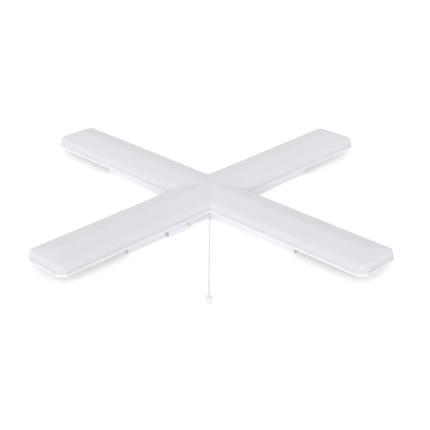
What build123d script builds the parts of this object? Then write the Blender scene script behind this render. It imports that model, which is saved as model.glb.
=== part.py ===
"""Cross-shaped ceiling light with a pull cord, lying on its back.

The frame: Z is up, Z = 0 is the mounting face that goes against the ceiling,
and the arms lie along X and Y. The pull cord leaves at the inner corner
between the -X and -Y arms. Lengths are in millimetres.
"""

import os
from math import cos, radians, sqrt, tan

from build123d import *

# Overall form
span = 1000.0            # tip to tip, along either bar of the cross
arm_width = 125.0        # across an arm, over the tray's rim
tip_chamfer = 15.0       # leg of the 45 degree corner at each tip

# Back channel, the shorter cross that goes against the ceiling
channel_inset = 14.0     # from the tray's rim in to the channel's wall
channel_reach = 305.0    # from the centre to the channel's ends
channel_height = 21.0
channel_sheet = 1.2
flange_width = 11.0      # inward flange that carries the tray
web_width = 20.0         # 45 degree face across the switch's corner
fixing_circle = 500.0    # circle of the ceiling screws' holes
fixing_hole = 5.5
entry_emboss = 46.0      # raised disc round the supply cable's hole
entry_rise = 3.0
entry_hole = 18.0

# Base tray
tray_sheet = 1.0
rim_height = 6.5
fold_radius = 1.6        # outside radius of the rim's fold
access_hole = 12.0       # screwdriver's way to each ceiling screw
lead_hole = 22.0         # leads' way up to the boards, at the centre

# Diffuser cover: a low gable along each arm, with a hip at each tip
cover_wall = 2.0
cover_gap = 0.5          # from the rim in to the cover's skirt
cover_seat = 0.2         # from the tray's floor up to the skirt
cover_height = 34.8      # from the skirt's edge to the ridge
roof_pitch = 13.5        # degrees, across an arm
ridge_radius = 40.0
shoulder_radius = 11.5   # between the roof and the skirt
end_height = 22.6        # from the skirt's edge to the foot of the hip
hip_pitch = 16.7         # degrees, along an arm
end_radius = 9.0         # between the hip and the end
corner_edge = 2.0        # cut over each 45 degree corner
gate_mark = 5.0          # moulding mark at the cover's centre
gate_depth = 0.7

# LED boards
board_length = 390.0
board_width = 60.0
board_thickness = 1.6
board_start = 74.0       # from the centre to a board's inner end
board_corner = 3.0       # leg of the board's cut corners
board_hole = 14.0        # over the tray's access hole
led_size = 3.0
led_height = 0.7
led_row_offset = 18.0    # each row's distance from the arm's middle line
led_rows = (-1, 1)
led_count = 12           # in each row
led_margin = 10.0        # from a board's end to the first LED
plug_length = 8.0
plug_width = 12.0
plug_height = 5.5
plug_wall = 1.2
plug_inset = 1.0         # from the board's end to the plug
board_screw_places = (0.07, 0.5, 0.93)   # along the board

# Screws: thread, head diameter, head height, length below the head
board_screw = (3.0, 5.6, 1.8, 5.0)
tray_screw = (4.0, 8.0, 2.4, 6.0)
driver_screw = (3.5, 6.6, 2.2, 3.1)
cover_screw = (3.0, 5.4, 1.6, 6.0)
clamp_screw = (2.6, 4.6, 1.8, 1.4)
earth_stud = (4.0, 8.0, 2.6)                    # its length follows from the sheets
thread_play = 0.05       # between a thread and the hole that it bites in
clear_play = 0.25        # between a thread and a hole that it passes

# LED driver
driver_length = 140.0
driver_width = 44.0
driver_height = 15.5
driver_start = 88.0      # from the centre to the driver's inner end
driver_ear = 9.0
driver_ear_sheet = 2.0
driver_ear_width = 18.0
driver_edge = 3.0        # cut along the case's upper edges
driver_grooves = 9       # across the case's top
driver_groove_pitch = 11.5
driver_groove_width = 4.0
driver_groove_length = 24.0
driver_groove_depth = 0.8

# Leads from the driver up through the tray to the boards
lead_diameter = 2.4
lead_bend = 5.0
lead_spread = 4.0        # from the centre to each lead in the grommet
lead_low = 9.0           # above the mounting face, in the channel
lead_step = 3.0          # how much higher the driver's own arm has its lead

# Terminal block and earth lug
terminal_length = 42.0
terminal_width = 20.0
terminal_height = 14.0
terminal_poles = 3
terminal_place = 150.0   # from the centre to the block's middle
terminal_wall_gap = 6.0  # from the wall's inside to the block
terminal_edge = 3.0      # cut along the block's upper edges
terminal_slot = 1.2      # between two poles
terminal_slot_depth = 2.5
terminal_well = 5.0      # over each clamp screw
terminal_well_depth = 4.2
wire_hole = 4.2
wire_height = 5.0        # above the block's foot
earth_place = 196.0
earth_washer = 10.0
earth_washer_sheet = 1.0

# Cover of the wiring opening, on one arm's side
wiring_cover_length = 80.0
wiring_cover_start = 116.0
wiring_cover_depth = 7.0
wiring_cover_height = 16.0
wiring_cover_sheet = 1.2
wiring_cover_step = 2.6  # how far its upper half lies back
wiring_opening_length = 56.0
wiring_opening_height = 11.0
wiring_tab = 9.0         # screw tab at each end

# Pull switch
switch_length = 27.0
switch_width = 22.0
switch_height = 16.0
switch_axis = 10.0       # above the mounting face
neck_diameter = 10.0
neck_reach = 5.0         # beyond the channel's web
neck_play = 0.2
neck_edge = 1.2
neck_root = 2.0          # inside the case
switch_edge = 2.0
spade_length = 7.0
spade_sheet = 0.8
spade_height = 5.0
spade_spacing = 12.0
nut_across = 15.0
nut_thickness = 3.0
plunger_diameter = 4.0
plunger_length = 18.0
plunger_play = 0.1
plunger_spare = 1.0      # from the plunger's end to its well's floor

# Pull cord and knob
cord_diameter = 2.5
knob_diameter = 12.0
knob_length = 25.0
knob_neck = 7.0
knob_shoulder = 5.0      # length of the taper from the neck
knob_edge = 1.2
knob_socket = 3.0
socket_play = 0.15

# Cable grommet and lead grommet
grommet_lip = 2.0
grommet_edge = 0.8
grommet_bore = 12.0
lead_grommet_bore = 16.0
groove_play = 0.1

# Spring clips that hold the cover
clip_place = 95.0        # from the tip to an arm's pair
clip_length = 14.0
clip_sheet = 0.6
clip_foot = 11.0
clip_height = 12.0
clip_bow = 2.6
clip_knee = 7.4          # height of the leaf's bend
clip_play = 0.3
rivet_diameter = 3.2
rivet_head = 5.6
rivet_head_height = 0.9

# Small repeated pins, heads and holes have flats in place of a circle
small_sides = 6
ring_sides = 24          # of the grommets and the knob
cord_sides = 12
head_taper = 20.0        # degrees, of a pan head's side
slot_width = 0.8

# Values that follow from those above
reach = span / 2
half_width = arm_width / 2
channel_half = half_width - channel_inset
tray_floor = channel_height + tray_sheet
cover_reach = reach - tray_sheet - cover_gap
cover_half = half_width - tray_sheet - cover_gap
cover_chamfer = tip_chamfer - (2 - sqrt(2)) * (tray_sheet + cover_gap)
cover_base = tray_floor + cover_seat
cover_top = cover_base + cover_height
board_top = tray_floor + board_thickness
web_distance = sqrt(2) * channel_half + web_width / 2
plunger_end = web_distance + neck_reach
cord_radius = cord_diameter / 2

# Route of the cord: distance out from the centre along the line between the
# two arms, distance to the right of that line, and height
cord_route = [
    (plunger_end, 0.0, switch_axis),
    (103.0, 0.0, switch_axis),
    (130.0, -1.2, cord_radius),
    (392.0, -7.4, cord_radius),
    (416.0, -8.0, knob_diameter / 2),
    (437.0, -8.6, knob_diameter / 2),
]

ARM_TURNS = {"back_right": 0, "back_left": 90, "front_left": 180, "front_right": 270}
DIAGONAL_TURN = 225


def on_arm(turn, shape):
    """Turn a shape that was made along +X onto an arm."""
    return Rot(0, 0, turn) * shape


def on_diagonal(shape):
    """Turn a shape that was made along +X onto the switch's diagonal."""
    return Rot(0, 0, DIAGONAL_TURN) * shape


def diagonal_point(out, right, height):
    """Place of a point given along, beside and above the switch's diagonal."""
    across = sqrt(0.5)
    return Vector((right - out) * across, -(right + out) * across, height)


def cross_outline(arm_reach, arm_half, chamfer_leg=0.0):
    """Flat outline of the cross, with or without its 45 degree tips."""
    bar = Rectangle(2 * arm_reach, 2 * arm_half)
    if chamfer_leg:
        bar = chamfer(bar.vertices(), chamfer_leg)
    return bar + Rot(0, 0, 90) * bar


def small_pin(diameter, height):
    """Pin with flats, within the circle of its diameter, up from Z = 0."""
    return extrude(RegularPolygon(diameter / 2, small_sides), height)


def small_hole(diameter, depth):
    """Cutter with flats, round the circle of its diameter, centred on Z = 0."""
    flats = RegularPolygon(diameter / 2, small_sides, major_radius=False)
    return extrude(flats, depth / 2, both=True)


def screw(size, slotted=False):
    """Pan-head screw along Z, its head's underside at Z = 0."""
    thread, head, head_height, length = size
    outline = RegularPolygon(head / 2, small_sides)
    solid = extrude(outline, head_height, taper=head_taper)
    if slotted:
        solid -= Pos(0, 0, head_height) * Box(head, slot_width, head_height)
    return solid + Pos(0, 0, -length) * small_pin(thread, length)


def hole(diameter, depth):
    """Cutter for a round hole along Z, centred on Z = 0."""
    return Cylinder(diameter / 2, depth)


def board_screw_points():
    return [(board_start + board_length * share, 0) for share in board_screw_places]


def tray_screw_points():
    """A pair of screws near each arm's end, on the channel's flanges."""
    beside = channel_half - flange_width / 2
    return [(channel_reach - flange_width, side * beside) for side in (-1, 1)]


def clip_points():
    """Middle of each clip's foot, on one arm."""
    beside = cover_half - cover_wall - clip_play - clip_bow - clip_foot / 2
    return [(reach - clip_place, side * beside, side) for side in (-1, 1)]


def channel_outline():
    """Channel's outline, with the face that carries the switch."""
    leg = web_width / sqrt(2)
    corner = channel_half
    web = Polygon(
        (-corner, -corner), (-corner - leg, -corner), (-corner, -corner - leg),
        align=None,
    )
    return cross_outline(channel_reach, channel_half) + web


def make_back_channel():
    outline = channel_outline()
    inside = offset(outline, -channel_sheet, kind=Kind.INTERSECTION)
    mouth = offset(outline, -flange_width, kind=Kind.INTERSECTION)
    body = extrude(outline, channel_height)
    body -= Pos(0, 0, channel_sheet) * extrude(inside, channel_height - 2 * channel_sheet)
    body -= Pos(0, 0, channel_height - 2 * channel_sheet) * extrude(mouth, 3 * channel_sheet)
    # Raised disc, so that the grommet's lower lip stays above the ceiling
    disc = entry_emboss / 2
    body += Pos(0, 0, (entry_rise + channel_sheet) / 2) * Cylinder(disc, entry_rise + channel_sheet)
    body -= Pos(0, 0, entry_rise / 2) * Cylinder(disc - channel_sheet, entry_rise)
    body -= Pos(0, 0, entry_rise) * hole(entry_hole, 4 * channel_sheet)
    for turn in ARM_TURNS.values():
        fixing = Pos(fixing_circle / 2, 0, 0) * hole(fixing_hole, 4 * channel_sheet)
        body -= on_arm(turn, fixing)
        for along, side in tray_screw_points():
            bite = tray_screw[0] + 2 * thread_play
            body -= on_arm(turn, Pos(along, side, channel_height) * small_hole(bite, 4 * channel_sheet))
        # Way through the flange for a board screw that comes down on it
        for along, side in board_screw_points():
            passing = small_hole(board_screw[0] + 2 * clear_play, 4 * channel_sheet)
            body -= on_arm(turn, Pos(along, side, channel_height) * passing)
    neck = neck_diameter + 2 * neck_play
    cutter = Rot(0, 90, 0) * hole(neck, 6 * channel_sheet)
    body -= on_diagonal(Pos(web_distance, 0, switch_axis) * cutter)
    body -= wiring_place() * Box(wiring_opening_length, 4 * channel_sheet, wiring_opening_height)
    for side in (-1, 1):
        place = wiring_place() * Pos(side * wiring_screw_offset(), 0, 0) * Rot(90, 0, 0)
        body -= place * small_hole(cover_screw[0] + 2 * thread_play, 4 * channel_sheet)
    body -= earth_location() * small_hole(earth_stud[0] + 2 * thread_play, 4 * channel_sheet)
    for point in driver_screw_points():
        bite = small_hole(driver_screw[0] + 2 * thread_play, 4 * channel_sheet)
        body -= on_arm(ARM_TURNS["front_right"], Pos(*point, 0) * bite)
    return body


def wiring_place():
    """Middle of the wiring opening, in the front left arm's near wall."""
    middle = wiring_cover_start + wiring_cover_length / 2
    return Pos(-middle, -channel_half, channel_sheet + wiring_cover_height / 2)


def wiring_screw_offset():
    return wiring_cover_length / 2 - wiring_tab / 2


def make_wiring_cover():
    """Folded cover with a stepped face and a screw tab at each end."""
    long = wiring_cover_length
    high = wiring_cover_height
    lower = high * 0.5
    block = Pos(0, 0, lower / 2 - high / 2) * Box(long, wiring_cover_depth, lower)
    block = Pos(0, -wiring_cover_depth / 2, 0) * block
    upper_depth = wiring_cover_depth - wiring_cover_step
    upper = Pos(0, -upper_depth / 2, 0) * Box(long, upper_depth, high)
    shell = block + upper
    wall = wiring_cover_sheet
    hollow_length = long - 2 * wiring_tab
    hollow = Pos(0, -(upper_depth - wall) / 2, 0)
    hollow = hollow * Box(hollow_length, upper_depth - wall, high - 2 * wall)
    shell -= hollow
    deep = Pos(0, -(wiring_cover_depth - wall) / 2, -(high - lower) / 2)
    shell -= deep * Box(hollow_length, wiring_cover_depth - wall, lower - 2 * wall)
    for side in (-1, 1):
        tab = Pos(side * wiring_screw_offset(), -wiring_cover_depth, 0)
        pocket_depth = 2 * (wiring_cover_depth - wall)
        shell -= tab * Box(wiring_tab, pocket_depth, high)
        passing = Rot(90, 0, 0) * small_hole(cover_screw[0] + 2 * clear_play, 4 * wiring_cover_depth)
        shell -= Pos(side * wiring_screw_offset(), 0, 0) * passing
    return wiring_place() * shell


def make_wiring_cover_screws():
    screws = []
    for side in (-1, 1):
        place = Pos(side * wiring_screw_offset(), -wiring_cover_sheet, 0) * Rot(90, 0, 0)
        screws.append(wiring_place() * place * screw(cover_screw, slotted=True))
    return Compound(screws)


def make_base_tray():
    outline = cross_outline(reach, half_width, tip_chamfer)
    inside = offset(outline, -tray_sheet, kind=Kind.INTERSECTION)
    body = extrude(outline, rim_height)
    fold = body.faces().sort_by(Axis.Z)[0].outer_wire().edges()
    body = fillet(fold, fold_radius)
    body -= Pos(0, 0, tray_sheet) * extrude(inside, rim_height)
    body = Pos(0, 0, channel_height) * body
    body -= Pos(0, 0, tray_floor) * hole(lead_hole, 4 * tray_sheet)
    for turn in ARM_TURNS.values():
        for along, side in tray_screw_points():
            passing = small_hole(tray_screw[0] + 2 * clear_play, 4 * tray_sheet)
            body -= on_arm(turn, Pos(along, side, tray_floor) * passing)
        for along, side in board_screw_points():
            bite = small_hole(board_screw[0] + 2 * thread_play, 4 * tray_sheet)
            body -= on_arm(turn, Pos(along, side, tray_floor) * bite)
        for along, beside, _ in clip_points():
            fit = small_hole(rivet_diameter + 2 * thread_play, 4 * tray_sheet)
            body -= on_arm(turn, Pos(along, beside, tray_floor) * fit)
        access = Pos(fixing_circle / 2, 0, tray_floor) * small_hole(access_hole, 4 * tray_sheet)
        body -= on_arm(turn, access)
    return body


def make_tray_screws():
    screws = []
    for turn in ARM_TURNS.values():
        for along, side in tray_screw_points():
            screws.append(on_arm(turn, Pos(along, side, tray_floor) * screw(tray_screw)))
    return Compound(screws)


def cover_section(inset):
    """Gable across an arm, drawn in all round by inset."""
    pitch = radians(roof_pitch)
    apex = cover_top + ridge_radius * (1 / cos(pitch) - 1)
    eave = apex - cover_half * tan(pitch)
    outline = Polygon(
        (-cover_half, 0), (cover_half, 0), (cover_half, eave), (0, apex), (-cover_half, eave),
        align=None,
    )
    outline = offset(outline, -inset, kind=Kind.INTERSECTION)
    outline = fillet(outline.vertices().group_by(Axis.Y)[-2], shoulder_radius - inset)
    return fillet(outline.vertices().group_by(Axis.Y)[-1], ridge_radius - inset)


def cover_profile(inset):
    """Hipped ends along an arm, drawn in all round by inset."""
    foot = cover_base + end_height
    crest = cover_top + cover_height
    run = (crest - foot) / tan(radians(hip_pitch))
    outline = Polygon(
        (-cover_reach, 0), (cover_reach, 0), (cover_reach, foot),
        (cover_reach - run, crest), (run - cover_reach, crest), (-cover_reach, foot),
        align=None,
    )
    outline = offset(outline, -inset, kind=Kind.INTERSECTION)
    return fillet(outline.vertices().group_by(Axis.Y)[-2], end_radius - inset)


def cover_bar(inset):
    """One bar of the cover as a full solid, drawn in all round by inset."""
    leg = cover_chamfer - (2 - sqrt(2)) * inset
    plan = chamfer(Rectangle(2 * (cover_reach - inset), 2 * (cover_half - inset)).vertices(), leg)
    bar = Pos(0, 0, cover_base) * extrude(plan, 2 * cover_height)
    bar &= extrude(Plane.YZ * cover_section(inset), span, both=True)
    return bar & extrude(Plane.XZ * cover_profile(inset), span, both=True)


def corner_top_edges(bar):
    """Upper edges of a bar's 45 degree faces."""
    edges = []
    for face in bar.faces():
        normal = face.normal_at()
        if abs(abs(normal.X) - abs(normal.Y)) < 0.01 and abs(normal.Z) < 0.01:
            edges += [edge for edge in face.edges() if edge_is_raised(edge)]
    return edges


def edge_is_raised(edge):
    """True for an edge of the skirt that is neither upright nor at its foot."""
    box = edge.bounding_box()
    upright = box.size.X < 0.01 and box.size.Y < 0.01
    return not upright and box.max.Z > cover_base + cover_wall


def make_diffuser_cover():
    outer = cover_bar(0)
    outer = chamfer(corner_top_edges(outer), corner_edge)
    inner = cover_bar(cover_wall)
    cover = outer + Rot(0, 0, 90) * outer
    cover -= inner + Rot(0, 0, 90) * inner
    return cover - Pos(0, 0, cover_top) * hole(gate_mark, 2 * gate_depth)


def make_led_board(turn):
    middle = board_start + board_length / 2
    outline = chamfer(Rectangle(board_length, board_width).vertices(), board_corner)
    board = Pos(middle, 0, tray_floor) * extrude(outline, board_thickness)
    for along, side in board_screw_points():
        passing = small_hole(board_screw[0] + 2 * clear_play, 4 * board_thickness)
        board -= Pos(along, side, board_top) * passing
    board -= Pos(fixing_circle / 2, 0, board_top) * small_hole(board_hole, 4 * board_thickness)
    return on_arm(turn, board)


def make_leds(turn):
    first = board_start + led_margin
    pitch = (board_length - 2 * led_margin) / (led_count - 1)
    chips = []
    for row in led_rows:
        for index in range(led_count):
            place = Pos(first + pitch * index, row * led_row_offset, board_top + led_height / 2)
            chips.append(on_arm(turn, place * Box(led_size, led_size, led_height)))
    return Compound(chips)


def plug_middle():
    """From the centre to the middle of a board's plug."""
    return board_start + plug_inset + plug_length / 2


def make_board_plugs():
    plugs = []
    for turn in ARM_TURNS.values():
        body = Box(plug_length, plug_width, plug_height)
        mouth = Box(plug_length, plug_width - 2 * plug_wall, plug_height - 2 * plug_wall)
        mouth = Pos(-plug_length / 2, 0, 0) * mouth
        place = Pos(plug_middle(), 0, board_top + plug_height / 2)
        plugs.append(on_arm(turn, place * (body - mouth)))
    return Compound(plugs)


def make_board_screws():
    screws = []
    for turn in ARM_TURNS.values():
        for along, side in board_screw_points():
            screws.append(on_arm(turn, Pos(along, side, board_top) * screw(board_screw)))
    return Compound(screws)


def make_cover_clips():
    """Bent spring strips, each with a foot, a bowed leaf and a lead-in."""
    clips = []
    for turn in ARM_TURNS.values():
        for along, beside, side in clip_points():
            toe = -clip_foot / 2
            heel = clip_foot / 2
            line = Polyline(
                (toe, 0), (heel, 0),
                (heel + clip_bow, clip_knee),
                (heel, clip_height),
            )
            leaf = make_face(offset(line, clip_sheet, kind=Kind.INTERSECTION, side=Side.LEFT))
            strip = extrude(Plane.XZ * leaf, clip_length / 2, both=True)
            strip -= small_hole(rivet_diameter + 2 * thread_play, 4 * clip_sheet)
            place = Pos(along, beside, tray_floor) * Rot(0, 0, 90 * side)
            clips.append(on_arm(turn, place * strip))
    return Compound(clips)


def make_clip_rivets():
    rivets = []
    head = small_pin(rivet_head, rivet_head_height)
    tail = Pos(0, 0, -tray_sheet - rivet_head_height) * head
    body = Pos(0, 0, -tray_sheet) * small_pin(rivet_diameter, tray_sheet + clip_sheet)
    rivet = Pos(0, 0, clip_sheet) * head + body + tail
    for turn in ARM_TURNS.values():
        for along, beside, _ in clip_points():
            rivets.append(on_arm(turn, Pos(along, beside, tray_floor) * rivet))
    return Compound(rivets)


def grommet(bore, wall_hole, sheet):
    """Rubber ring whose groove holds the edge of a hole, middle at Z = 0.

    The bore is a cutter along Z.
    """
    outer = wall_hole / 2 + grommet_lip
    high = sheet + 2 * (grommet_lip + groove_play)
    lip = extrude(RegularPolygon(outer, ring_sides), high / 2, both=True)
    lip = chamfer(lip.faces().filter_by(Axis.Z).edges(), grommet_edge)
    groove = Box(4 * outer, 4 * outer, sheet + 2 * groove_play)
    core = extrude(RegularPolygon(wall_hole / 2 - groove_play, ring_sides), high / 2, both=True)
    return lip - groove + core - bore


def make_cable_grommet():
    middle = entry_rise + channel_sheet / 2
    bore = hole(grommet_bore, entry_hole)
    return Pos(0, 0, middle) * grommet(bore, entry_hole, channel_sheet)


def make_lead_grommet():
    middle = channel_height + tray_sheet / 2
    bore = extrude(RegularPolygon(lead_grommet_bore / 2, ring_sides), lead_hole, both=True)
    return Pos(0, 0, middle) * grommet(bore, lead_hole, tray_sheet)


def driver_screw_points():
    middle = driver_start + driver_length / 2
    offset_along = driver_length / 2 + driver_ear / 2
    return [(middle - offset_along, 0), (middle + offset_along, 0)]


def make_driver():
    middle = driver_start + driver_length / 2
    case = Box(driver_length, driver_width, driver_height)
    case = chamfer(case.edges().filter_by(Axis.X).group_by(Axis.Z)[-1], driver_edge)
    case = Pos(0, 0, driver_height / 2) * case
    for index in range(driver_grooves):
        along = (index - (driver_grooves - 1) / 2) * driver_groove_pitch
        groove = Box(driver_groove_width, driver_groove_length, 2 * driver_groove_depth)
        case -= Pos(along, 0, driver_height) * groove
    ear_long = driver_length + 2 * driver_ear
    ears = Pos(0, 0, driver_ear_sheet / 2) * Box(ear_long, driver_ear_width, driver_ear_sheet)
    ears = chamfer(ears.edges().filter_by(Axis.Z), driver_edge)
    case += ears
    case = Pos(middle, 0, channel_sheet) * case
    for point in driver_screw_points():
        passing = small_hole(driver_screw[0] + 2 * clear_play, 4 * driver_ear_sheet)
        case -= Pos(*point, channel_sheet) * passing
    return on_arm(ARM_TURNS["front_right"], case)


def make_driver_screws():
    screws = []
    seat = channel_sheet + driver_ear_sheet
    for point in driver_screw_points():
        placed = Pos(*point, seat) * screw(driver_screw)
        screws.append(on_arm(ARM_TURNS["front_right"], placed))
    return Compound(screws)


def make_board_leads():
    """Leads from the driver's end to the centre, up, and out to each board's plug."""
    leads = []
    high = board_top + plug_height / 2
    for name, turn in ARM_TURNS.items():
        outward = Vector(1, 0, 0).rotate(Axis.Z, turn)
        foot = outward * lead_spread
        low = lead_low + lead_step if name == "front_right" else lead_low
        path = FilletPolyline(
            Vector(foot.X, -driver_start, low),
            Vector(foot.X, foot.Y, low),
            Vector(foot.X, foot.Y, high),
            outward * plug_middle() + Vector(0, 0, high),
            radius=lead_bend,
        )
        section = Plane(path @ 0, z_dir=path % 0) * RegularPolygon(lead_diameter / 2, small_sides)
        leads.append(sweep(section, path))
    return Compound(leads)


def terminal_location():
    beside = channel_half - channel_sheet - terminal_wall_gap - terminal_width / 2
    return Pos(-terminal_place, -beside, channel_sheet)


def terminal_pitch():
    return terminal_length / (terminal_poles + 1)


def make_terminal_block():
    block = Pos(0, 0, terminal_height / 2) * Box(terminal_length, terminal_width, terminal_height)
    top_edges = block.edges().filter_by(Axis.X).group_by(Axis.Z)[-1]
    block = chamfer(top_edges, terminal_edge)
    for index in range(terminal_poles):
        along = (index - (terminal_poles - 1) / 2) * terminal_pitch()
        entry = Rot(90, 0, 0) * small_hole(wire_hole, 2 * terminal_width)
        block -= Pos(along, 0, wire_height) * entry
        well = small_hole(terminal_well, 2 * terminal_well_depth)
        block -= Pos(along, 0, terminal_height) * well
    for side in (-1, 1):
        gap = Pos(side * terminal_pitch() / 2, 0, terminal_height)
        block -= gap * Box(terminal_slot, terminal_width * 2, 2 * terminal_slot_depth)
    return terminal_location() * block


def make_terminal_screws():
    """Clamp screws, each down its own well in the block."""
    screws = []
    for index in range(terminal_poles):
        along = (index - (terminal_poles - 1) / 2) * terminal_pitch()
        seat = terminal_height - terminal_well_depth + clamp_screw[3]
        screws.append(terminal_location() * Pos(along, 0, seat) * screw(clamp_screw))
    return Compound(screws)


def earth_location():
    return Pos(-earth_place, -terminal_wall_gap, 0)


def make_earth_screw():
    """Screw and washer, the thread's end level with the mounting face."""
    thread, head, head_height = earth_stud
    size = (thread, head, head_height, earth_washer_sheet + channel_sheet)
    solid = screw(size, slotted=True) + Pos(0, 0, -earth_washer_sheet) * small_pin(
        earth_washer, earth_washer_sheet
    )
    return earth_location() * Pos(0, 0, channel_sheet + earth_washer_sheet) * solid


def make_switch_case():
    """Moulded case with the threaded neck that goes through the web."""
    inner_face = web_distance - channel_sheet
    middle = inner_face - switch_length / 2
    case = Box(switch_length, switch_width, switch_height)
    case = chamfer(case.edges().filter_by(Axis.X), switch_edge)
    case = Pos(middle, 0, switch_axis) * case
    neck_length = plunger_end - inner_face + neck_root
    neck = Rot(0, 90, 0) * Cylinder(neck_diameter / 2, neck_length)
    neck = chamfer(neck.edges().group_by(Axis.X)[-1], neck_edge)
    case += Pos(plunger_end - neck_length / 2, 0, switch_axis) * neck
    bore = plunger_diameter + 2 * plunger_play
    well = plunger_length + plunger_spare
    case -= Pos(plunger_end - well / 2, 0, switch_axis) * Rot(0, 90, 0) * hole(bore, well)
    for side in (-1, 1):
        spade = Box(2 * spade_length, spade_sheet, spade_height)
        case += Pos(inner_face - switch_length, side * spade_spacing / 2, switch_axis) * spade
    return on_diagonal(case)


def make_switch_nut():
    nut = extrude(RegularPolygon(nut_across / 2, 6, major_radius=False), nut_thickness)
    nut -= hole(neck_diameter + 2 * neck_play, 4 * nut_thickness)
    return on_diagonal(Pos(web_distance, 0, switch_axis) * Rot(0, 90, 0) * nut)


def make_switch_plunger():
    rod = Rot(0, 90, 0) * Cylinder(plunger_diameter / 2, plunger_length)
    return on_diagonal(Pos(plunger_end - plunger_length / 2, 0, switch_axis) * rod)


def corner_radii(points):
    """Radius of the arc at each corner: as large as its two runs allow."""
    radii = []
    for before, corner, after in zip(points, points[1:], points[2:]):
        shorter = min((corner - before).length, (after - corner).length)
        turn = (corner - before).get_angle(after - corner)
        radii.append(0.45 * shorter / tan(radians(turn / 2)))
    return radii


def make_pull_cord():
    points = [diagonal_point(*place) for place in cord_route]
    radii = corner_radii(points)
    path = FilletPolyline(*points, radius=radii)
    section = Plane(path @ 0, z_dir=path % 0) * RegularPolygon(cord_radius, cord_sides)
    tube = sweep(section, path)
    expected = section.area * path.length
    print("cord arc radii", [round(radius, 1) for radius in radii])
    print("cord length", round(path.length, 1), "volume share", round(tube.volume / expected, 4))
    return tube


def make_pull_knob():
    """Knob with a tapered shoulder and a socket, lying on its side."""
    body = extrude(RegularPolygon(knob_diameter / 2, ring_sides), knob_length)
    body = chamfer(body.faces().sort_by(Axis.Z)[-1].edges(), knob_edge)
    neck = body.faces().sort_by(Axis.Z)[0]
    step = (knob_diameter - knob_neck) / 2
    body = chamfer(neck.edges(), step, knob_shoulder, reference=neck)
    body -= small_hole(cord_diameter + 2 * socket_play, 2 * knob_socket)
    last = diagonal_point(*cord_route[-1])
    before = diagonal_point(*cord_route[-2])
    heading = (last - before).normalized()
    seat = last - heading * knob_socket
    return Plane(seat, x_dir=(0, 0, 1), z_dir=heading) * body


def main():
    os.makedirs("parts", exist_ok=True)
    nodes = {
        "back_channel": make_back_channel(),
        "base_tray": make_base_tray(),
        "diffuser_cover": make_diffuser_cover(),
        "tray_screws": make_tray_screws(),
        "board_plugs": make_board_plugs(),
        "board_screws": make_board_screws(),
        "cover_clips": make_cover_clips(),
        "clip_rivets": make_clip_rivets(),
        "cable_grommet": make_cable_grommet(),
        "lead_grommet": make_lead_grommet(),
        "led_driver": make_driver(),
        "driver_screws": make_driver_screws(),
        "board_leads": make_board_leads(),
        "terminal_block": make_terminal_block(),
        "terminal_screws": make_terminal_screws(),
        "earth_screw": make_earth_screw(),
        "wiring_cover": make_wiring_cover(),
        "wiring_cover_screws": make_wiring_cover_screws(),
        "switch_case": make_switch_case(),
        "switch_nut": make_switch_nut(),
        "switch_plunger": make_switch_plunger(),
        "pull_cord": make_pull_cord(),
        "pull_knob": make_pull_knob(),
    }
    for name, turn in ARM_TURNS.items():
        nodes["led_board_" + name] = make_led_board(turn)
        nodes["leds_" + name] = make_leds(turn)
    for name, shape in nodes.items():
        export_step(shape, os.path.join("parts", name + ".step"))


main()
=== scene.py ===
"""Looks of the cross-shaped ceiling light, which lies on its back on a pale floor.

The cover, the cord and its knob get finer pieces than the CAD solids. All other
pieces keep their solids and get materials.
"""

from math import cos, pi, radians, sin, sqrt

import bmesh
import bpy
from mathutils import Matrix, Vector


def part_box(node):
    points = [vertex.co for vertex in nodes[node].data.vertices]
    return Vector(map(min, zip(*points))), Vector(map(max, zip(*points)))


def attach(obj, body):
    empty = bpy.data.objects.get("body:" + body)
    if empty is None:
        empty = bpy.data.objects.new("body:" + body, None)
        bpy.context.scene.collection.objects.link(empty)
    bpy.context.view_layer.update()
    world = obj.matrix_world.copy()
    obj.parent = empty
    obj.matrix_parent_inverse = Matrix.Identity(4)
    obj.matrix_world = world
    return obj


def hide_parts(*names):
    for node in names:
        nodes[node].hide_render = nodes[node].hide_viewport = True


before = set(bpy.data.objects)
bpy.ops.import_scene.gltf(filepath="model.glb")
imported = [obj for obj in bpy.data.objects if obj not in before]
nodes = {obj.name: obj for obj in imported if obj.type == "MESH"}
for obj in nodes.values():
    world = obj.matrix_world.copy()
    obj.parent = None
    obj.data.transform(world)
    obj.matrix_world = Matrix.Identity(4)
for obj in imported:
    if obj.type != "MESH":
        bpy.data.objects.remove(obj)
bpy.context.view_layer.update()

# Camera, at the photograph's viewing angle
PHOTO_WIDTH = 430
FOCAL_PIXELS = 1020.8
CAMERA_AZIMUTH = -46.85
CAMERA_ELEVATION = 26.465
CAMERA_ROLL = 0.824
CAMERA_DISTANCE = 2.406
CAMERA_TARGET = Vector((-0.0308, -0.0501, 0.0))

# Light: the sky's strength, and a wide sun behind the camera, a little to its left
SKY_STRENGTH = 0.74
SUN_STRENGTH = 1.24
SUN_WIDTH = 50
SUN_DIRECTION = Vector((-0.72, -0.48, 0.50))

# Floor, in metres, just under the light's back so that the two don't share a plane
FLOOR_HALF = 6.0
FLOOR_DROP = 0.0001
FLOOR_DARK = (0.82, 0.82, 0.82)
FLOOR_PALE = (0.84, 0.84, 0.84)
FLOOR_MOTTLE = 3
FLOOR_ROUGHNESS = 0.9
FLOOR_GLOW = 0.31

# Route of the cord, in millimetres: out along the line between the two near
# arms, right of that line, and height
CORD_ROUTE = [
    (83.59, 0.0, 10.0),
    (103.0, 0.0, 10.0),
    (130.0, -1.2, 1.25),
    (158.0, -1.9, 1.25),
    (367.5, -6.8, 1.25),
    (392.0, -7.4, 1.25),
    (416.0, -8.0, 6.0),
    (437.0, -8.6, 6.0),
]
CORD_DIAMETER = 0.0025
CORD_SIDE_STEPS = 5
CORD_LENGTH_STEPS = 12

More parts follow.
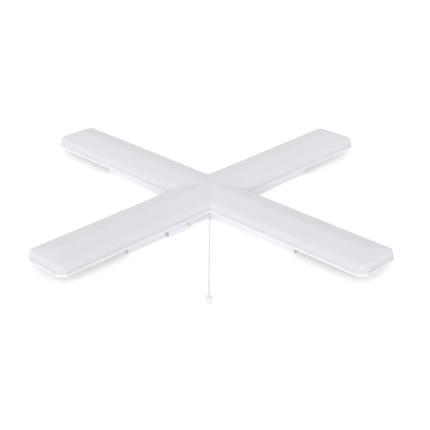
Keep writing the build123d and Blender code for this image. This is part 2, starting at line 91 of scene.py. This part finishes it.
# Braid: the cord's direction in plan and the strands' lean, in degrees, then
# how often the strands repeat, their depth in metres and their gloss
CORD_BEARING = 45
STRAND_TILT = 50
STRAND_TWIST = 40
STRAND_SCALE = 260
STRAND_DEPTH = 0.0001
BRAID_ROUGHNESS = 0.8
BRAID_SHEEN = 0.2

# Cover, in millimetres: its plan, its roof's slopes and its rounded edges
COVER_HALF = 61.0
COVER_CORNER = 14.12
COVER_WALL = 2.0
ROOF_SLOPE = 0.24
RIDGE_ROUND = 6.0
HIP_FOOT = 44.8
HIP_SLOPE = 0.30
CREASE_BLEND = 4.0
SIDE_ROUND = 11.0
END_ROUND = 7.0
CORNER_ROUND = 8.0

# Gate mark at the cover's centre, in millimetres: a shallow dimple, coloured darker as painted
# shade. The painted shade's fade and the rings
# # of points round it are multiples of its radius. Rings are round out to one
# # distance, and follow the cover's square from the other on.
GATE_RADIUS = 4.0
GATE_DEPTH = 1.6
GATE_SHADE_FADE = 1.2
GATE_RINGS = (0.25, 0.5, 0.75, 1, 1.0375, 1.15, 1.325, 1.5, 1.75)
ROUND_REACH = 2 * GATE_RADIUS
SQUARE_REACH = 8 * GATE_RADIUS

# Where the cover's points lie closer together, in millimetres from a wall
TIP_ZONE = 90
END_ZONE = 24
SIDE_ZONE = 22

# Knob, in millimetres: distance from the end that the cord enters, and radius
KNOB_SIDES = 64
KNOB_SOCKET = 3.0
KNOB_OUTLINE = [
    (KNOB_SOCKET, 0.0),
    (KNOB_SOCKET, 1.55),
    (0.05, 1.55),
    (0.0, 1.62),
    (0.0, 3.0),
    (0.1, 3.2),
    (0.4, 3.42),
    (1.2, 3.75),
    (2.4, 4.4),
    (3.6, 5.1),
    (4.8, 5.6),
    (6.2, 5.9),
    (8.0, 5.98),
    (22.6, 5.98),
    (23.6, 5.85),
    (24.4, 5.45),
    (24.9, 4.7),
    (25.0, 4.1),
    (25.0, 0.0),
]

# Meshes: points closer than this many metres are joined, and edges that turn by
# more than this many degrees stay sharp
JOIN_DISTANCE = 0.000002
SHARP_ANGLE = 50


def add_object(name, data):
    made = bpy.data.objects.new(name, data)
    bpy.context.scene.collection.objects.link(made)
    return made


def make_camera():
    azimuth = radians(CAMERA_AZIMUTH)
    elevation = radians(CAMERA_ELEVATION)
    back = Vector((
        sin(azimuth) * cos(elevation),
        -cos(azimuth) * cos(elevation),
        sin(elevation),
    ))
    data = bpy.data.cameras.new("camera")
    data.lens = FOCAL_PIXELS / PHOTO_WIDTH * data.sensor_width
    camera = add_object("camera", data)
    turn = back.to_track_quat("Z", "Y").to_matrix().to_4x4()
    roll = Matrix.Rotation(radians(CAMERA_ROLL), 4, "Z")
    place = Matrix.Translation(CAMERA_TARGET + back * CAMERA_DISTANCE)
    camera.matrix_world = place @ turn @ roll
    bpy.context.scene.camera = camera


# Cord and knob


def diagonal_point(out, right, height):
    """Place in metres of a point given in millimetres beside the diagonal."""
    across = sqrt(0.5) / 1000
    return Vector(((right - out) * across, -(right + out) * across, height / 1000))


def make_cord():
    """Cord as a round tube along its route; the knob sits on its far end."""
    data = bpy.data.curves.new("braided_cord", "CURVE")
    data.dimensions = "3D"
    data.bevel_depth = 1.0
    data.bevel_resolution = CORD_SIDE_STEPS
    data.use_fill_caps = True
    spline = data.splines.new("NURBS")
    spline.points.add(len(CORD_ROUTE) - 1)
    for point, place in zip(spline.points, CORD_ROUTE):
        point.co = (*diagonal_point(*place), 1.0)
        point.radius = CORD_DIAMETER / 2
    spline.use_endpoint_u = True
    spline.order_u = 3
    spline.resolution_u = CORD_LENGTH_STEPS
    cord = add_object("braided_cord", data)
    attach(cord, "pull")
    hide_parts("pull_cord")
    return cord


def smooth_mesh(name, shape):
    """Mesh of a shape, with the points that meet joined and its faces shaded smooth."""
    bmesh.ops.remove_doubles(shape, verts=shape.verts, dist=JOIN_DISTANCE)
    bmesh.ops.recalc_face_normals(shape, faces=shape.faces)
    data = bpy.data.meshes.new(name)
    shape.to_mesh(data)
    shape.free()
    data.polygons.foreach_set("use_smooth", [True] * len(data.polygons))
    return data


def make_knob():
    """Round knob on the cord's end, lying on its side."""
    shape = bmesh.new()
    angles = [2 * pi * side / KNOB_SIDES for side in range(KNOB_SIDES)]
    rings = []
    for distance, radius in KNOB_OUTLINE:
        points = [(radius * cos(angle), radius * sin(angle), distance) for angle in angles]
        rings.append([shape.verts.new(Vector(point) / 1000) for point in points])
    for ring, next_ring in zip(rings, rings[1:]):
        for side in range(KNOB_SIDES):
            after = (side + 1) % KNOB_SIDES
            shape.faces.new((ring[side], ring[after], next_ring[after], next_ring[side]))
    data = smooth_mesh("round_knob", shape)
    data.set_sharp_from_angle(angle=radians(SHARP_ANGLE))
    knob = add_object("round_knob", data)
    last = diagonal_point(*CORD_ROUTE[-1])
    heading = (last - diagonal_point(*CORD_ROUTE[-2])).normalized()
    turn = heading.to_track_quat("Z", "Y").to_matrix().to_4x4()
    knob.matrix_world = Matrix.Translation(last - heading * KNOB_SOCKET / 1000) @ turn
    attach(knob, "pull")
    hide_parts("pull_knob")
    return knob


# Cover


def clamp(value):
    return min(1.0, max(0.0, value))


def soft_lower(first, second, blend):
    """The lower of two heights, with the crease between them rounded."""
    share = clamp(0.5 + 0.5 * (second - first) / blend)
    return second * (1 - share) + first * share - blend * share * (1 - share)


def edge_drop(inward, radius):
    """How much lower a rounded edge is, at a distance in from the wall."""
    left = min(radius, max(0.0, radius - inward))
    return radius - sqrt(radius * radius - left * left)


def gable(across, top):
    """Height of a low roof beside its ridge, which is rounded."""
    return top - ROOF_SLOPE * (sqrt(across * across + RIDGE_ROUND * RIDGE_ROUND) - RIDGE_ROUND)


def cover_height(along, across, reach, top):
    """Height of the cover's outside on one arm, where along is at least across."""
    from_end = reach - along
    from_side = sqrt(max(0.0, COVER_HALF - along) ** 2 + (COVER_HALF - abs(across)) ** 2)
    from_corner = (from_end + COVER_HALF - abs(across) - COVER_CORNER) / sqrt(2)
    height = soft_lower(gable(across, top), HIP_FOOT + HIP_SLOPE * from_end, CREASE_BLEND)
    height = -soft_lower(-height, -gable(along, top), CREASE_BLEND)
    # The blend of the two ridges is too high where they cross, and comes down to the top
    rise_at_centre = CREASE_BLEND / 4
    height -= rise_at_centre * max(0.0, 1 - along / COVER_HALF)
    return height - max(
        edge_drop(from_side, SIDE_ROUND),
        edge_drop(from_end, END_ROUND),
        edge_drop(from_corner, CORNER_ROUND),
    )


def cover_point(along, share, reach, top):
    """Point on one arm, in millimetres: share runs across it, from -1 to 1 at the walls."""
    half = min(along, COVER_HALF - max(0.0, along - reach + COVER_CORNER))
    in_square = Vector((along, half * share))
    in_ring = Vector((cos(share * pi / 4), sin(share * pi / 4))) * along
    squareness = clamp((along - ROUND_REACH) / (SQUARE_REACH - ROUND_REACH))
    place = in_ring.lerp(in_square, squareness)
    height = cover_height(max(place.x, abs(place.y)), place.y, reach, top)
    if along <= GATE_RADIUS:
        height -= GATE_DEPTH
    return (*place, height)


def wall_steps(width, count):
    """Distances in from a wall, closest together beside it."""
    return [width * (1 - cos(index / count * pi / 2)) for index in range(count)]


def even_steps(start, end, count):
    """Places after start, up to and with end."""
    return [start + (end - start) * index / count for index in range(1, count + 1)]


def cover_rows(reach):
    """Distances from the centre at which the cover's points lie."""
    rows = [GATE_RADIUS * ring for ring in GATE_RINGS] + [ROUND_REACH]
    rows += even_steps(ROUND_REACH, COVER_HALF, count=22)
    rows += even_steps(COVER_HALF, reach - TIP_ZONE, count=50)
    rows += even_steps(reach - TIP_ZONE, reach - END_ZONE, count=30)
    rows += [reach - inward for inward in reversed(wall_steps(END_ZONE, count=26))]
    return rows


def cover_shares():
    """Places across an arm, from wall to wall, closest together at the walls."""
    inward = wall_steps(SIDE_ZONE, count=18) + [SIDE_ZONE]
    inward += even_steps(SIDE_ZONE, COVER_HALF, count=14)
    side = [1 - distance / COVER_HALF for distance in inward[:-1]]
    return side + [0.0] + [-share for share in reversed(side)]


def add_arm(shape, turn, rows, shares, reach, top, base):
    """One arm of the cover's outside and its wall, turned by that many right angles."""
    spin = Matrix.Rotation(turn * pi / 2, 3, "Z")
    grid = []
    for along in rows:
        points = [cover_point(along, share, reach, top) for share in shares]
        grid.append([shape.verts.new(spin @ Vector(point) / 1000) for point in points])
    for row, next_row in zip(grid, grid[1:]):
        for column in range(len(shares) - 1):
            after = column + 1
            shape.faces.new((row[column], row[after], next_row[after], next_row[column]))
    centre = shape.verts.new((0, 0, (top - GATE_DEPTH) / 1000))
    for first, second in zip(grid[0], grid[0][1:]):
        shape.faces.new((centre, second, first))
    free = grid[rows.index(COVER_HALF):]
    rim = [row[0] for row in free] + free[-1][1:] + [row[-1] for row in reversed(free[:-1])]
    foot = [shape.verts.new((vertex.co.x, vertex.co.y, base / 1000)) for vertex in rim]
    for index in range(len(rim) - 1):
        shape.faces.new((rim[index], rim[index + 1], foot[index + 1], foot[index]))


def thicken(piece, thickness):
    """Give an open shell a wall on its inside, with the wall's foot kept sharp."""
    wall = piece.modifiers.new("wall", "SOLIDIFY")
    wall.thickness = thickness
    wall.offset = -1
    bpy.context.view_layer.update()
    view = bpy.context.evaluated_depsgraph_get()
    solid = bpy.data.meshes.new_from_object(piece.evaluated_get(view))
    solid.set_sharp_from_angle(angle=radians(SHARP_ANGLE))
    piece.modifiers.clear()
    piece.data = solid


def make_cover():
    """Cover as one shell, with soft ridges, hips, valleys and corners."""
    low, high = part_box("diffuser_cover")
    reach, top, base = high.x * 1000, high.z * 1000, low.z * 1000
    rows = cover_rows(reach)
    shares = cover_shares()
    shape = bmesh.new()
    for turn in range(4):
        add_arm(shape, turn, rows, shares, reach, top, base)
    cover = add_object("opal_shell", smooth_mesh("opal_shell", shape))
    thicken(cover, COVER_WALL / 1000)
    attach(cover, "cover")
    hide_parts("diffuser_cover")
    return cover


# Materials


def shade(red, green, blue):
    """Linear colour of an 8-bit one."""
    return tuple((level / 255) ** 2.2 for level in (red, green, blue))


def near_white(level, blue=0):
    """Grey of an 8-bit level, made cooler by a few steps of blue."""
    return shade(level, level, level + blue)


def translucent(weight, depth):
    """Sockets of a plastic that light goes into, to a depth in metres."""
    return {
        "Subsurface Weight": weight,
        "Subsurface Radius": (depth, depth, depth),
        "Subsurface Scale": 1.0,
    }


# Finishes: two close colours in a mottle, the range of roughness, and a grain.
# Mottle and grain are the scales of their noise per metre, and depth is in metres.
METAL = {"Metallic": 1.0}
FINISHES = {
    "opal_plastic": dict(
        colours=(near_white(243, 8), near_white(244, 8)), mottle=18,
        rough=(0.50, 0.58), grain=1500, depth=0.00003,
        sockets={**translucent(0.55, 0.010), "Specular IOR Level": 0.2},
    ),
    "white_powder_coat": dict(
        colours=(near_white(242, 4), near_white(244, 4)), mottle=25,
        rough=(0.42, 0.55), grain=2200, depth=0.00006,
    ),
    # Painted light: the tray's white coat made lighter, to stand in for light that the channel's
    # and wiring cover's sides lack under the rim; it is also glossier
    "white_gloss_coat_painted_lighter": dict(
        colours=(near_white(247, 4), near_white(248, 4)), mottle=25,
        rough=(0.30, 0.38), grain=2200, depth=0.00003,
    ),
    "white_solder_mask": dict(
        colours=(near_white(236), near_white(240)), mottle=120,
        rough=(0.3, 0.4), grain=3000, depth=0.00002,
    ),
    "led_phosphor": dict(
        colours=(shade(244, 226, 208), shade(246, 232, 218)), mottle=900,
        rough=(0.35, 0.5), grain=4000, depth=0.00003,
    ),
    "zinc_plate": dict(
        colours=(shade(216, 215, 214), shade(228, 227, 226)), mottle=500,
        rough=(0.36, 0.50), grain=6000, depth=0.00002, stretch=(1, 6, 1), sockets=METAL,
    ),
    "plain_brass": dict(
        colours=(shade(222, 196, 170), shade(232, 208, 184)), mottle=500,
        rough=(0.26, 0.4), grain=6000, depth=0.00002, stretch=(1, 6, 1), sockets=METAL,
    ),
    "spring_steel": dict(
        colours=(near_white(176), near_white(190)), mottle=300,
        rough=(0.28, 0.4), grain=5000, depth=0.00002, stretch=(8, 1, 1), sockets=METAL,
    ),
    "natural_nylon": dict(
        colours=(shade(235, 232, 229), shade(238, 236, 234)), mottle=200,
        rough=(0.4, 0.52), grain=2600, depth=0.00004, sockets=translucent(0.2, 0.002),
    ),
    "moulded_white": dict(
        colours=(near_white(228), near_white(232)), mottle=160,
        rough=(0.38, 0.5), grain=2400, depth=0.00005,
    ),
    # Painted light: the switch's moulded white made lighter, to stand in for light that the nut
    # and plunger lack in the shade under the rim
    "moulded_white_painted_lighter": dict(
        colours=(near_white(246, 2), near_white(248, 2)), mottle=160,
        rough=(0.34, 0.44), grain=2400, depth=0.00003,
    ),
    "black_rubber": dict(
        colours=(near_white(48), near_white(56)), mottle=300,
        rough=(0.6, 0.75), grain=3000, depth=0.00006,
    ),
    "lead_sheath": dict(
        colours=(near_white(222), near_white(228)), mottle=300,
        rough=(0.42, 0.55), grain=3000, depth=0.00003,
    ),
    "translucent_knob": dict(
        colours=(near_white(233, 4), near_white(238, 4)), mottle=200,
        rough=(0.24, 0.34), grain=1800, depth=0.00002, sockets=translucent(0.3, 0.004),
    ),
}
# Painted shade: the gate mark's dimple is coloured darker than the cover round it
GATE_PAINTED_SHADE = near_white(234, 8)
# Painted shade: the gaps between the braid's strands are coloured darker than the strands
STRAND_GAP_PAINTED_SHADE = near_white(214, 4)
STRAND_COLOUR = near_white(238, 4)

# Which finish each CAD node has. The LED boards and their LEDs go by the
# beginnings of their names, and the cord has a braid of its own.
NODE_FINISHES = {
    "diffuser_cover": "opal_plastic",
    # The channel and the wiring cover get the white coat painted lighter, as painted light
    "back_channel": "white_gloss_coat_painted_lighter",
    "base_tray": "white_powder_coat",
    "wiring_cover": "white_gloss_coat_painted_lighter",
    "board_leads": "lead_sheath",
    "board_plugs": "natural_nylon",
    "terminal_block": "natural_nylon",
    "led_driver": "moulded_white",
    "switch_case": "moulded_white",
    # Nut and plunger: moulded white painted lighter, as painted light
    "switch_nut": "moulded_white_painted_lighter",
    "switch_plunger": "moulded_white_painted_lighter",
    "cable_grommet": "black_rubber",
    "lead_grommet": "black_rubber",
    "cover_clips": "spring_steel",
    "clip_rivets": "zinc_plate",
    "board_screws": "zinc_plate",
    "tray_screws": "zinc_plate",
    "driver_screws": "zinc_plate",
    "wiring_cover_screws": "zinc_plate",
    "terminal_screws": "plain_brass",
    "earth_screw": "plain_brass",
    "pull_knob": "translucent_knob",
}
GROUP_FINISHES = {"led_board_": "white_solder_mask", "leds_": "led_phosphor"}


def graph(name):
    """New material: its node tree, its shader and its object coordinates."""
    material = bpy.data.materials.new(name)
    material.use_nodes = True
    tree = material.node_tree
    shader = tree.nodes["Principled BSDF"]
    place = tree.nodes.new("ShaderNodeTexCoord").outputs["Object"]
    return material, tree, shader, place


def maths(tree, operation, first, second):
    """Sum, product or other result of a socket with a second socket or a number."""
    node = tree.nodes.new("ShaderNodeMath")
    node.operation = operation
    tree.links.new(first, node.inputs[0])
    if isinstance(second, bpy.types.NodeSocket):
        tree.links.new(second, node.inputs[1])
    else:
        node.inputs[1].default_value = second
    return node.outputs["Value"]


def turned(tree, place, angles):
    """Coordinates turned by three angles in degrees."""
    mapping = tree.nodes.new("ShaderNodeMapping")
    mapping.inputs["Rotation"].default_value = [radians(angle) for angle in angles]
    tree.links.new(place, mapping.inputs["Vector"])
    return mapping.outputs["Vector"]


def noise(tree, place, scale, detail=2.0, stretch=(1, 1, 1)):
    """Noise whose features are about 1 / scale metres across."""
    if stretch != (1, 1, 1):
        mapping = tree.nodes.new("ShaderNodeMapping")
        mapping.inputs["Scale"].default_value = stretch
        tree.links.new(place, mapping.inputs["Vector"])
        place = mapping.outputs["Vector"]
    node = tree.nodes.new("ShaderNodeTexNoise")
    node.inputs["Scale"].default_value = scale
    node.inputs["Detail"].default_value = detail
    tree.links.new(place, node.inputs["Vector"])
    return node.outputs["Fac"]


def spread(tree, value, low, high):
    """Map noise, which stays mostly between 0.3 and 0.7, onto low to high."""
    node = tree.nodes.new("ShaderNodeMapRange")
    node.inputs["From Min"].default_value = 0.3
    node.inputs["From Max"].default_value = 0.7
    node.inputs["To Min"].default_value = low
    node.inputs["To Max"].default_value = high
    tree.links.new(value, node.inputs["Value"])
    return node.outputs["Result"]


def blend_colours(tree, value, first, second):
    """First colour where the value is 0, and second, a colour or socket, where it is 1."""
    node = tree.nodes.new("ShaderNodeMix")
    node.data_type = "RGBA"
    node.inputs["A"].default_value = (*first, 1.0)
    if isinstance(second, bpy.types.NodeSocket):
        tree.links.new(second, node.inputs["B"])
    else:
        node.inputs["B"].default_value = (*second, 1.0)
    tree.links.new(value, node.inputs["Factor"])
    return node.outputs["Result"]


def bump(tree, shader, height, depth):
    node = tree.nodes.new("ShaderNodeBump")
    node.inputs["Distance"].default_value = depth
    node.inputs["Strength"].default_value = 1.0
    tree.links.new(height, node.inputs["Height"])
    tree.links.new(node.outputs["Normal"], shader.inputs["Normal"])


def finish_material(name, colours, mottle, rough, grain, depth, stretch=(1, 1, 1), sockets=None):
    """Two close colours in a mottle, uneven gloss and a fine grain."""
    material, tree, shader, place = graph(name)
    patches = spread(tree, noise(tree, place, mottle, stretch=stretch), 0.0, 1.0)
    tree.links.new(blend_colours(tree, patches, *colours), shader.inputs["Base Color"])
    fine = noise(tree, place, grain, detail=3.0, stretch=stretch)
    tree.links.new(spread(tree, fine, *rough), shader.inputs["Roughness"])
    bump(tree, shader, fine, depth)
    for socket, value in (sockets or {}).items():
        shader.inputs[socket].default_value = value
    return material


def paint_shade_spot(material, radius, colour):
    """Painted shade: another, darker colour within a radius of the line up through the object's
    origin.
    """
    tree = material.node_tree
    target = tree.nodes["Principled BSDF"].inputs["Base Color"]
    plain = target.links[0].from_socket
    place = tree.nodes.new("ShaderNodeTexCoord").outputs["Object"]
    flat = tree.nodes.new("ShaderNodeVectorMath")
    flat.operation = "MULTIPLY"
    flat.inputs[1].default_value = (1, 1, 0)
    tree.links.new(place, flat.inputs[0])
    length = tree.nodes.new("ShaderNodeVectorMath")
    length.operation = "LENGTH"
    tree.links.new(flat.outputs["Vector"], length.inputs[0])
    outside = tree.nodes.new("ShaderNodeMapRange")
    outside.inputs["From Min"].default_value = radius
    outside.inputs["From Max"].default_value = radius * GATE_SHADE_FADE
    tree.links.new(length.outputs["Value"], outside.inputs["Value"])
    tree.links.new(blend_colours(tree, outside.outputs["Result"], colour, plain), target)


def make_braid():
    """Fine woven sleeve: two sets of strands that wind opposite ways, with painted shade in the
    gaps between them.
    """
    material, tree, shader, place = graph("white_braid")
    along_cord = turned(tree, place, (0, 0, CORD_BEARING))
    heights = []
    for lean in (-1, 1):
        wave = tree.nodes.new("ShaderNodeTexWave")
        wave.inputs["Scale"].default_value = STRAND_SCALE
        leaning = turned(tree, along_cord, (lean * STRAND_TILT, 0, lean * STRAND_TWIST))
        tree.links.new(leaning, wave.inputs["Vector"])
        heights.append(wave.outputs["Fac"])
    strand = maths(tree, "MAXIMUM", *heights)
    # Painted shade: darker colour where the strands dip, in the gaps between them
    colour = blend_colours(tree, strand, STRAND_GAP_PAINTED_SHADE, STRAND_COLOUR)
    tree.links.new(colour, shader.inputs["Base Color"])
    bump(tree, shader, strand, STRAND_DEPTH)
    shader.inputs["Roughness"].default_value = BRAID_ROUGHNESS
    shader.inputs["Sheen Weight"].default_value = BRAID_SHEEN
    return material


def make_materials():
    """Material of each CAD node, by the node's name."""
    finishes = {name: finish_material(name, **values) for name, values in FINISHES.items()}
    # Painted shade in the gate mark's dimple at the cover's centre
    paint_shade_spot(finishes["opal_plastic"], GATE_RADIUS / 1000, GATE_PAINTED_SHADE)
    materials = {node: finishes[finish] for node, finish in NODE_FINISHES.items()}
    for beginning, finish in GROUP_FINISHES.items():
        for node in nodes:
            if node.startswith(beginning):
                materials[node] = finishes[finish]
    materials["pull_cord"] = make_braid()
    return materials


def dress(finer):
    """Materials for the CAD nodes, and for the finer pieces that stand for some of them."""
    materials = make_materials()
    for node, material in materials.items():
        for slot in nodes[node].material_slots:
            slot.material = material
    for node, piece in finer.items():
        piece.data.materials.append(materials[node])


# Floor and light


def direct_ray(tree, strength):
    """That strength for camera, glossy and transmission rays, 0 for the rest."""
    rays = tree.nodes.new("ShaderNodeLightPath")
    total = rays.outputs["Is Camera Ray"]
    for name in ("Is Glossy Ray", "Is Transmission Ray"):
        total = maths(tree, "MAXIMUM", total, rays.outputs[name])
    return maths(tree, "MULTIPLY", total, strength)


def make_floor():
    """Pale floor that keeps the shadow and reads as plain white to the camera."""
    far = FLOOR_HALF
    low = -FLOOR_DROP
    corners = [(-far, -far, low), (far, -far, low), (far, far, low), (-far, far, low)]
    data = bpy.data.meshes.new("floor")
    data.from_pydata(corners, [], [(0, 1, 2, 3)])
    floor = add_object("floor", data)
    material, tree, shader, place = graph("floor_white")
    patches = spread(tree, noise(tree, place, FLOOR_MOTTLE), 0.0, 1.0)
    colour = blend_colours(tree, patches, FLOOR_DARK, FLOOR_PALE)
    tree.links.new(colour, shader.inputs["Base Color"])
    shader.inputs["Roughness"].default_value = FLOOR_ROUGHNESS
    shader.inputs["Emission Color"].default_value = (1, 1, 1, 1)
    tree.links.new(direct_ray(tree, FLOOR_GLOW), shader.inputs["Emission Strength"])
    data.materials.append(material)


def make_sky():
    """White to the camera, and a plain soft light on the object."""
    world = bpy.data.worlds.new("studio")
    world.use_nodes = True
    tree = world.node_tree
    background = tree.nodes["Background"]
    background.inputs["Color"].default_value = (1, 1, 1, 1)
    strength = maths(tree, "ADD", direct_ray(tree, 1.0 - SKY_STRENGTH), SKY_STRENGTH)
    tree.links.new(strength, background.inputs["Strength"])
    bpy.context.scene.world = world


def make_sun():
    """Wide soft light, which makes the shadow."""
    data = bpy.data.lights.new("key", "SUN")
    data.angle = radians(SUN_WIDTH)
    data.energy = SUN_STRENGTH
    light = add_object("key", data)
    light.location = SUN_DIRECTION
    light.rotation_mode = "QUATERNION"
    light.rotation_quaternion = SUN_DIRECTION.to_track_quat("Z", "Y")


def set_view():
    bpy.context.scene.view_settings.view_transform = "Standard"


make_camera()
knob = make_knob()
cord = make_cord()
cover = make_cover()
dress({"pull_cord": cord, "pull_knob": knob, "diffuser_cover": cover})
make_floor()
make_sky()
make_sun()
set_view()
